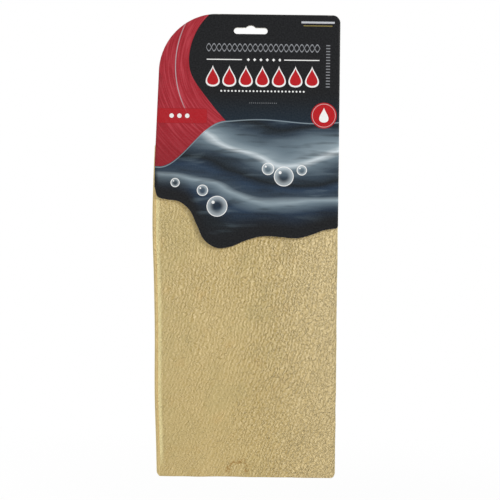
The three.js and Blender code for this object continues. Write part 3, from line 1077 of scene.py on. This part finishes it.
CREASE_DEPTH = 0.22
CREASE_WIDTH = 1.3
GRAIN_HEIGHT = 0.07
WAVE_HEIGHT = 0.26
SLOW_HEIGHT = 0.4
PUCKER_HEIGHT = 0.35
PUCKER_WIDTH = 1.1
CURL_REACH = 22.0
CURL_HEIGHT = 1.3
CURL_WANDER = 1.6


def grain(u, v):
    """The height of the skin's short ridges, at places on the flat skin."""
    lean = leaned(u, v)
    drift = swell(u / 15, v / 15, 3.5) * 3
    stir = swell(lean / 4, v / 3, 1.5) * 0.7
    ridges = np.sin(((lean + drift) / RIDGE_SPACING + stir) * 2 * math.pi)
    return GRAIN_HEIGHT * ridges * (0.6 + 0.9 * swell(lean / 4, v / 4, 5.5))


def waves(u, v):
    """The height of the skin's slow waves, of the crease beside the left fold and of a wrinkle."""
    crease = np.exp(-(((u - CREASE_PLACE) / CREASE_WIDTH) ** 2)) * CREASE_DEPTH
    crease *= (0.8 + 0.6 * swell(0.0, v / 26, 14.5)) * smooth(4, 26, v)
    stir = swell(u / 5, v / 5, 12.5) * 3
    from_arch = np.hypot(u + stir - PUCKER_U, v - stir - PUCKER_V) - PUCKER_RADIUS
    pucker = np.exp(-((from_arch / PUCKER_WIDTH) ** 2)) * smooth(1, 6, v) * PUCKER_HEIGHT
    pucker *= 1 - stir / 2
    slow = SLOW_HEIGHT * swell(u / 48, v / 66, 4.5)
    return WAVE_HEIGHT * swell(u / 17, v / 26, 9.5) + slow - crease + pucker


def edge_curl(bay, share, z):
    """How far the last leaf's natural edge lifts from the leaf before it."""
    if bay != "rear":
        return 0.0
    near = max(0.0, 1 - (1 - share) * REAR_RUN / CURL_REACH) ** 2
    return near * (CURL_HEIGHT + CURL_WANDER * swell(z / 55, 0.0, 11.5))


FOOT_ROWS = 9
RIM_BULGE = 0.3
CARVE_FADE = 2.0  # over which the ridges fade out at the border of a finely made area
CARVE_INSET = 0.15
FACING_STRENGTH = 0.2  # of the waves, so that facing leaves stay apart
FAR = 100.0  # farther than the foot's corners reach


def bay_place(bay, share, depth, z):
    """X and Y of a place on the skin. depth is its Y where the skin lies in the front leaf."""
    start = left_fold(z) + ROLL
    end = SKIN_RIGHT - ROLL
    first = FIRST_FOLD - depth
    second = SECOND_FOLD - (2 * FIRST_FOLD - depth)
    turn = share * math.pi
    if bay == "front":
        side = SKIN_RIGHT + swell(z / 21, 0.0, 5.5) * 0.35
        return lerp(side, start, share), depth
    if bay == "first_fold":
        return start - first * math.sin(turn), FIRST_FOLD - first * math.cos(turn)
    if bay == "middle":
        return lerp(start, end, share), 2 * FIRST_FOLD - depth
    if bay == "second_fold":
        return end + second * math.sin(turn), SECOND_FOLD - second * math.cos(turn)
    return lerp(end, free_edge(z), share), 2 * (SECOND_FOLD - FIRST_FOLD) + depth


def bay_tops(bay, share):
    """The heights of the front and the rear layer's top edges."""
    width = FLAT_FRONT + ROLL
    if bay == "front":
        across = 1 - share * FLAT_FRONT / width
        return necked_top(across), plain_top(across)
    if bay == "first_fold":
        low = plain_top(ROLL / width)
        return lerp(necked_top(ROLL / width), low, share), low
    if bay == "middle":
        top = plain_top((ROLL + share * FLAT_MIDDLE) / width)
    elif bay == "second_fold":
        top = plain_top(1 - ROLL / width)
    else:
        top = plain_top(lerp(1 - ROLL / width, 0, share))
    return top, top


def bay_sides(bay, share):
    """How far a place is from the left and the right end of its leaf, for the foot's corners."""
    if bay == "front":
        return FAR, FLAT_FRONT * share
    if bay in ("first_fold", "second_fold"):
        return ROLL * (1 - math.sin(share * math.pi)), FAR
    if bay == "middle":
        return ROLL + share * FLAT_MIDDLE, ROLL + (1 - share) * FLAT_MIDDLE
    return REAR_RUN * (1 - share), ROLL + share * REAR_RUN


BAY_STARTS = {
    "front": (0.0, FLAT_FRONT),
    "first_fold": (FLAT_FRONT, FOLD_RUN),
    "middle": (MIDDLE_START, FLAT_MIDDLE),
    "second_fold": (SECOND_START, FOLD_RUN),
    "rear": (REAR_START, REAR_RUN),
}


Section = namedtuple("Section", "depth z away_depth away_z inner_depth inner_z u v")


def section(bay, share, front_shares, rear_shares):
    """A cut through a leaf's two layers, from its front top edge round the foot to the rear one."""
    front_top, rear_top = bay_tops(bay, share)
    left, right = bay_sides(bay, share)
    half, gap_half = LEAF / 2, LAYER_GAP / 2
    turn = -BODY_FOOT + float(corner_lift(left) + corner_lift(right)) + half
    middle = SKIN_FRONT + half
    down = lerp(float(front_top), turn, np.asarray(front_shares))
    up = lerp(turn, float(rear_top), np.asarray(rear_shares))
    angles = np.linspace(math.pi, 2 * math.pi, FOOT_ROWS + 2)[1:-1]
    cosines, sines = np.cos(angles), np.sin(angles)
    start, run = BAY_STARTS[bay]
    along = start + share * run

    def joined(front, foot, rear):
        return np.concatenate([front * np.ones(len(down)), foot, rear * np.ones(len(up))])

    return Section(
        depth=joined(SKIN_FRONT, middle + half * cosines, SKIN_FRONT + LEAF),
        z=joined(down, turn + half * sines, up),
        away_depth=joined(-1.0, cosines, 1.0),
        away_z=joined(0.0, sines, 0.0),
        inner_depth=joined(
            SKIN_FRONT + SKIN, middle + gap_half * cosines, SKIN_FRONT + LEAF - SKIN,
        ),
        inner_z=joined(down, turn + gap_half * sines, up),
        u=joined(along, along + 0 * angles, along),
        v=joined(down - turn, -half * (angles - math.pi), turn - up - half * math.pi),
    )


def in_space(bay, share, depth, z):
    """Places of the hanging skin."""
    x, y = bay_place(bay, share, depth, z)
    return np.column_stack([x, y + edge_curl(bay, share, z), z])


def raised(cut, bay, share, height):
    return in_space(bay, share, cut.depth + cut.away_depth * height, cut.z + cut.away_z * height)


def wave_strength(cut, bay, shown_bay, shown_side):
    """Full on the side that shows, little where leaves face each other, less below the card."""
    shows = (bay == shown_bay) & (cut.away_depth * shown_side > -0.2)
    return np.where(shows, 1.0, FACING_STRENGTH) * lerp(0.6, 1, smooth(150, 200, -cut.z))


def fine_area(bay, side, shares, rows):
    """Points of one layer of a leaf on a fine grid, with the skin's ridges on them."""
    points, places, heights = [], [], []
    front_rows, rear_rows, part = rows, [0, 1], slice(0, len(rows))
    if side > 0:
        front_rows, rear_rows, part = [0, 1], rows, slice(-len(rows), None)
    across = (shares - shares[0]) * BAY_STARTS[bay][1]
    down = (rows - rows[0]) * BODY_HEIGHT
    from_ends = np.minimum(down, down[-1] - down)
    for share, from_start in zip(shares, across):
        cut = Section(*(values[part] for values in section(bay, share, front_rows, rear_rows)))
        border = np.minimum(from_ends, min(from_start, across[-1] - from_start))
        ridges = grain(cut.u, cut.v) * smooth(0, CARVE_FADE, border)
        height = (waves(cut.u, cut.v) + ridges) * wave_strength(cut, bay, bay, side)
        points.append(raised(cut, bay, share, height))
        places.append(np.column_stack([cut.u, cut.v, 0 * cut.u]))
        heights.append(ridges / GRAIN_HEIGHT)
    return np.array(points), np.array(places), np.array(heights)


# Where the fine grid is set in: the first and last station and row, and the shares of both grids
Hole = namedtuple("Hole", "first last low high shares rows fine_shares fine_rows")


def folded_skin(name, stations, front_rows, rear_rows, fine):
    """A closed piece of the folded skin. stations are bays with shares of them; fine is the
    bay and the side with a fine grid, and its count of columns and rows."""
    fine_bay, side, columns, row_count = fine
    outer, inner, places = [], [], []
    for bay, share in stations:
        cut = section(bay, share, front_rows, rear_rows)
        strength = wave_strength(cut, bay, fine_bay, side)
        outer.append(raised(cut, bay, share, waves(cut.u, cut.v) * strength))
        inner.append(in_space(bay, share, cut.inner_depth, cut.inner_z))
        places.append(np.column_stack([cut.u, cut.v, 0 * cut.u]))
    in_bay = [i for i, (bay, share) in enumerate(stations) if bay == fine_bay]
    if side < 0:
        first, last = in_bay[1], in_bay[-1]
        low, high = 1, len(front_rows) - 1
        rows = np.array(front_rows)[1:]
    else:
        first, last = in_bay[0], in_bay[-2]
        low = len(front_rows) + FOOT_ROWS
        high = low + len(rear_rows) - 2
        rows = np.array(rear_rows)[:-1]
    shares = np.array([share for bay, share in stations[first : last + 1]])
    inset = CARVE_INSET / BODY_HEIGHT
    fine_shares = np.linspace(shares[0] + inset, shares[-1] - inset, columns)
    fine_rows = np.linspace(rows[0] + inset, rows[-1] - inset, row_count)
    area = fine_area(fine_bay, side, fine_shares, fine_rows)
    hole = Hole(first, last, low, high, shares, rows, fine_shares, fine_rows)
    seam = len(stations) - 1 if stations[-1][0] == "middle" else 0
    return skin_mesh(name, np.array(outer), np.array(inner), np.array(places), area, hole, seam)


def unit(vectors):
    return vectors / np.maximum(np.linalg.norm(vectors, axis=-1, keepdims=True), 1e-9)


def stitched(coarse, coarse_at, fine, fine_at):
    """Triangles between two lines of vertices with different spacing."""
    faces = []
    i = j = 0
    while i < len(coarse) - 1 or j < len(fine) - 1:
        ended = j == len(fine) - 1
        if ended or (i < len(coarse) - 1 and coarse_at[i + 1] <= fine_at[j + 1]):
            faces.append((coarse[i], coarse[i + 1], fine[j]))
            i += 1
        else:
            faces.append((coarse[i], fine[j + 1], fine[j]))
            j += 1
    return faces


def grid_faces(index):
    quads = np.stack([index[:-1, :-1], index[:-1, 1:], index[1:, 1:], index[1:, :-1]], axis=-1)
    return quads.reshape(-1, 4).tolist()


def sharpen(piece, chosen):
    """Makes the edges between chosen vertices sharp."""
    ends = np.zeros(len(piece.data.edges) * 2, np.int32)
    piece.data.edges.foreach_get("vertices", ends)
    layer = piece.data.attributes.new("sharp_edge", "BOOLEAN", "EDGE")
    layer.data.foreach_set("value", chosen[ends.reshape(-1, 2)].all(axis=1))


def skin_mesh(name, outer, inner, places, area, hole, seam):
    """Joins an outer and an inner surface with slightly rounded rims and ends, and sets the
    fine area into its hole in the outer one. The end at the seam and the top below the neck
    stay flat, with sharp edges, because the skin runs on there in the next piece."""
    def rim(edge, next_edge, other, bulge):
        return (edge + other) / 2 + unit(edge - next_edge) * bulge

    at_neck = np.abs(outer[:, 0, 2] + NECK_SEAM) < 0.01
    bulge = np.where(at_neck, 0, RIM_BULGE)[:, None]
    top_front = rim(outer[:, 0], outer[:, 1], inner[:, 0], bulge)
    top_rear = rim(outer[:, -1], outer[:, -2], inner[:, -1], RIM_BULGE)
    rings = np.concatenate([top_front[:, None], outer, top_rear[:, None], inner[:, ::-1]], axis=1)
    flat = np.concatenate([places[:, :1], places, places[:, -1:], places[:, ::-1]], axis=1)
    stations, around = rings.shape[:2]
    rows = outer.shape[1]
    index = np.arange(stations * around).reshape(stations, around)
    closed = np.concatenate([index, index[:, :1]], axis=1)
    first, last, low, high = hole.first, hole.last, hole.low + 1, hole.high + 1
    faces = grid_faces(closed[: first + 1]) + grid_faces(closed[last:])
    faces += grid_faces(closed[first : last + 1, : low + 1])
    faces += grid_faces(closed[first : last + 1, high:])
    rims = np.zeros((stations, around))
    rims[:, 0] = 1 - at_neck
    rims[:, rows + 1] = 1
    ends, end_flat, end_rims = [], [], []
    for station, neighbour in ((0, 1), (stations - 1, stations - 2)):
        free = 0.0 if station == seam else 1.0
        away = unit(outer[station] - outer[neighbour]) * (RIM_BULGE * free)
        base = stations * around + rows * len(ends)
        ends.append((outer[station] + inner[station]) / 2 + away)
        end_flat.append(places[station])
        end_rims.append(np.full(rows, free))
        rims[station] = free
        ring_index = index[station]
        outer_index = ring_index[1 : rows + 1]
        inner_index = ring_index[rows + 2 :][::-1]
        end_index = np.arange(base, base + rows)
        faces += grid_faces(np.stack([outer_index, end_index, inner_index]))
        front_top, rear_top = ring_index[0], ring_index[rows + 1]
        faces += [
            (front_top, outer_index[0], end_index[0]),
            (front_top, end_index[0], inner_index[0]),
            (rear_top, end_index[-1], outer_index[-1]),
            (rear_top, inner_index[-1], end_index[-1]),
        ]
    points, fine_flat, heights = area
    base = stations * around + 2 * rows
    fine = np.arange(base, base + points.shape[0] * points.shape[1]).reshape(points.shape[:2])
    coarse = index[first : last + 1, low : high + 1]
    faces += grid_faces(fine)
    for k in (0, -1):
        faces += stitched(coarse[:, k], hole.shares, fine[:, k], hole.fine_shares)
    for k in (0, -1):
        faces += stitched(coarse[k], hole.rows, fine[k], hole.fine_rows)
    attributes = {
        "skin": np.concatenate([flat.reshape(-1, 3), *end_flat, fine_flat.reshape(-1, 3)]),
        "rim": np.concatenate([rims.ravel(), *end_rims, np.zeros(fine.size)]),
        "ridge": np.concatenate([np.zeros(base), heights.ravel()]),
    }
    points = np.concatenate([rings.reshape(-1, 3), *ends, points.reshape(-1, 3)])
    used = np.zeros(len(points), bool)
    used[np.concatenate([np.ravel(face) for face in faces])] = True
    renumber = np.cumsum(used) - 1
    faces = [tuple(renumber[k] for k in face) for face in faces]
    attributes = {label: values[used] for label, values in attributes.items()}
    piece = make_piece(name, points[used], faces, [SUEDE], None, attributes)
    flat_ends = np.concatenate([index[seam], index[at_neck, 1], index[at_neck, -1]])
    sharpen(piece, np.isin(np.arange(len(used)), flat_ends)[used])
    return piece


def hinge(piece):
    """Bakes the piece's placement into its mesh."""
    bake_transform(piece)


def bay(name, shares):
    return [(name, float(share)) for share in shares]


def leather_front():
    """The front leaf, the left fold and the left half of the middle leaf."""
    width = FLAT_FRONT + ROLL
    corner = NECK_FOOT_HALF / width
    middle = SKIN_LEFT / width
    marks = [(1 - place) * width / FLAT_FRONT for place in (middle - corner, middle + corner)]
    shares = sorted({0.008, *np.linspace(0, 1, 46), *marks})
    rows = [0, 0.004, *np.linspace(0.015, 1, 82)]
    stations = [
        *bay("front", shares),
        *bay("first_fold", np.linspace(0, 1, 12)[1:-1]),
        *bay("middle", np.linspace(0, 0.5, 24)),
    ]
    fine = ("front", -1, 188, 340)
    piece = folded_skin("leather_front", stations, rows, np.linspace(0, 1, 82), fine)
    hinge(piece)
    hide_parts("front_leaf", "middle_leaf")
    return piece


def leather_back():
    """The right half of the middle leaf, the right fold and the rear leaf."""
    stations = [
        *bay("middle", np.linspace(0.5, 1, 24)),
        *bay("second_fold", np.linspace(0, 1, 12)[1:-1]),
        *bay("rear", [*np.linspace(0, 0.985, 36), 0.992, 1]),
    ]
    rows = [*np.linspace(0, 0.985, 82), 0.996, 1]
    fine = ("rear", 1, 116, 270)
    piece = folded_skin("leather_back", stations, np.linspace(0, 1, 82), rows, fine)
    hinge(piece)
    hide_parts("rear_leaf")
    return piece


def neck_skin(x, s):
    """Where a place of the neck is on the flat skin."""
    share = (SKIN_RIGHT - x) / (SKIN_RIGHT - left_fold(s) - ROLL)
    return share * FLAT_FRONT, s + BODY_FOOT - LEAF / 2


def neck_paint(x, s):
    u, v = neck_skin(x, s)
    return {"skin": np.column_stack([u, v, 0 * u])}


def neck_place(x, s, depth):
    """Puts the neck in space, with its waves on the front only and none at the staples."""
    u, v = neck_skin(x, s)
    calm = np.ones(len(x))
    for centre in STAPLE_CENTRES:
        away = np.hypot((x - centre) * 0.75, s + STAPLE_DROP)
        calm = np.minimum(calm, smooth(STAPLE_CALM * 0.4, STAPLE_CALM, away))
    ridges = grain(u, v) * 0.5 * smooth(-NECK_SEAM, -NECK_SEAM + CARVE_FADE, s)
    height = (waves(u, v) + ridges) * 0.6 * calm * (1 - np.clip(depth * 4, 0, 1))
    return np.column_stack([x, SKIN_FRONT - height + SKIN * depth, s])


def leather_neck():
    """The skin's neck, between the panels, with close rows of points along the line below the back
    panel.
    """
    foot = [(NECK_FOOT_HALF, -NECK_SEAM), (NECK_HALF + 0.5, -78), (NECK_HALF, -NECK_BEND)]
    corner_x = NECK_HALF - NECK_TAPER - NECK_CORNER
    corner = arc(corner_x, -NECK_TOP - NECK_CORNER, NECK_CORNER, 0, 90, 8)
    side = lerp(np.array(foot[-1]), np.array(corner[0]), np.linspace(0, 1, 9)[1:-1, None])
    half = [*foot, *map(tuple, side), *corner]
    outline = [*half, *[(-x, z) for x, z in half[::-1]]]
    grid = lattice(-NECK_HALF, NECK_HALF, -NECK_SEAM + 1, -NECK_TOP, (2.0, 2.0))
    grid = grid[np.abs(grid[:, 1] + NECK_BEND) > 2.0]
    bend = lattice(-42, 43, -NECK_BEND - 2.0, -NECK_BEND + 2.1, (3.0, 0.4))
    grid = np.concatenate([grid, bend])
    piece = plate(
        "leather_neck", outline, leg_holes(0.0), grid, neck_place, [SUEDE, SUEDE], neck_paint,
    )
    keep_edges_sharp(piece)
    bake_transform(piece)
    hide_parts("neck_tab")
    return piece


# Camera, light and floor

CAMERA_PLACE = (0.0018, -1.1215, -0.2131)
CAMERA_TURN = 0.70
LENS = 85.0
AIM = Vector((0.0, 0.0, -0.21))
FLOOR_HEIGHT = -0.62
FLOOR_NEAR = 0.5  # from here outward the floor fades into the background
FLOOR_FAR = 1.6


def set_up(name, data, place, turn):
    made = bpy.data.objects.new(name, data)
    made.location = place
    made.rotation_euler = turn
    bpy.context.scene.collection.objects.link(made)
    return made


def add_camera():
    data = bpy.data.cameras.new("camera")
    data.lens = LENS
    data.sensor_width = 36.0
    data.clip_start = 0.05
    data.clip_end = 50.0
    turn = (math.radians(90), math.radians(-CAMERA_TURN), 0)
    bpy.context.scene.camera = set_up("camera", data, CAMERA_PLACE, turn)


def add_lamp(name, place, size, power):
    data = bpy.data.lights.new(name, "AREA")
    data.shape = "DISK"
    data.size = size
    data.energy = power
    set_up(name, data, place, (AIM - Vector(place)).to_track_quat("-Z", "Y").to_euler())


def seen_directly(paint):
    rays = paint.node("ShaderNodeLightPath")
    outputs = rays.socket.node.outputs
    seen = Socket(paint, outputs["Is Camera Ray"]) + Socket(paint, outputs["Is Glossy Ray"])
    return (seen + Socket(paint, outputs["Is Transmission Ray"])).clamped()


def add_world():
    world = bpy.data.worlds.new("studio")
    bpy.context.scene.world = world
    paint = Paint(world)
    tone = paint.mix(seen_directly(paint), (0.42, 0.42, 0.42, 1), (1, 1, 1, 1))
    shader = paint.node("ShaderNodeBackground", None, {"Color": tone, "Strength": 1.0})
    paint.node("ShaderNodeOutputWorld", None, {"Surface": shader})


def add_floor():
    bpy.ops.mesh.primitive_circle_add(
        vertices=96, radius=9.0, fill_type="NGON", location=(0, 0, FLOOR_HEIGHT)
    )
    floor = bpy.context.object
    floor.name = "floor"
    paint = Paint(bpy.data.materials.new("pale_floor"))
    cloth = paint.node("ShaderNodeBsdfDiffuse", None, {"Color": (0.9, 0.9, 0.9, 1)})
    light = paint.node("ShaderNodeEmission", None, {"Color": (1, 1, 1, 1), "Strength": 1.0})
    place = paint.node("ShaderNodeTexCoord", output="Object")
    reach = paint.node("ShaderNodeVectorMath", {"operation": "LENGTH"}, {0: place}, output="Value")
    share = seen_directly(paint) * (paint.rise(reach, FLOOR_NEAR, FLOOR_FAR) * 0.15 + 0.85)
    shader = paint.node("ShaderNodeMixShader", None, {0: share, 1: cloth, 2: light})
    paint.node("ShaderNodeOutputMaterial", None, {"Surface": shader})
    floor.data.materials.append(paint.owner)


bpy.context.scene.view_settings.view_transform = "Standard"
add_camera()
add_world()
add_floor()
add_lamp("key", (1.25, -0.85, 0.45), 0.55, 19.0)
add_lamp("fill", (-0.9, -1.7, 0.1), 1.3, 5.0)
add_lamp("back_left", (-1.2, 1.0, 0.4), 0.6, 12.0)
add_lamp("back_right", (1.0, 1.6, 0.2), 1.3, 6.0)

SUEDE = leather_material()
BOARD = board_material()
WIRE = wire_material()

card_front()
card_back()
leather_neck()
leather_front()
leather_back()
for node in ("staple_left", "staple_middle", "staple_right"):
    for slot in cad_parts[node].material_slots:
        slot.material = WIRE
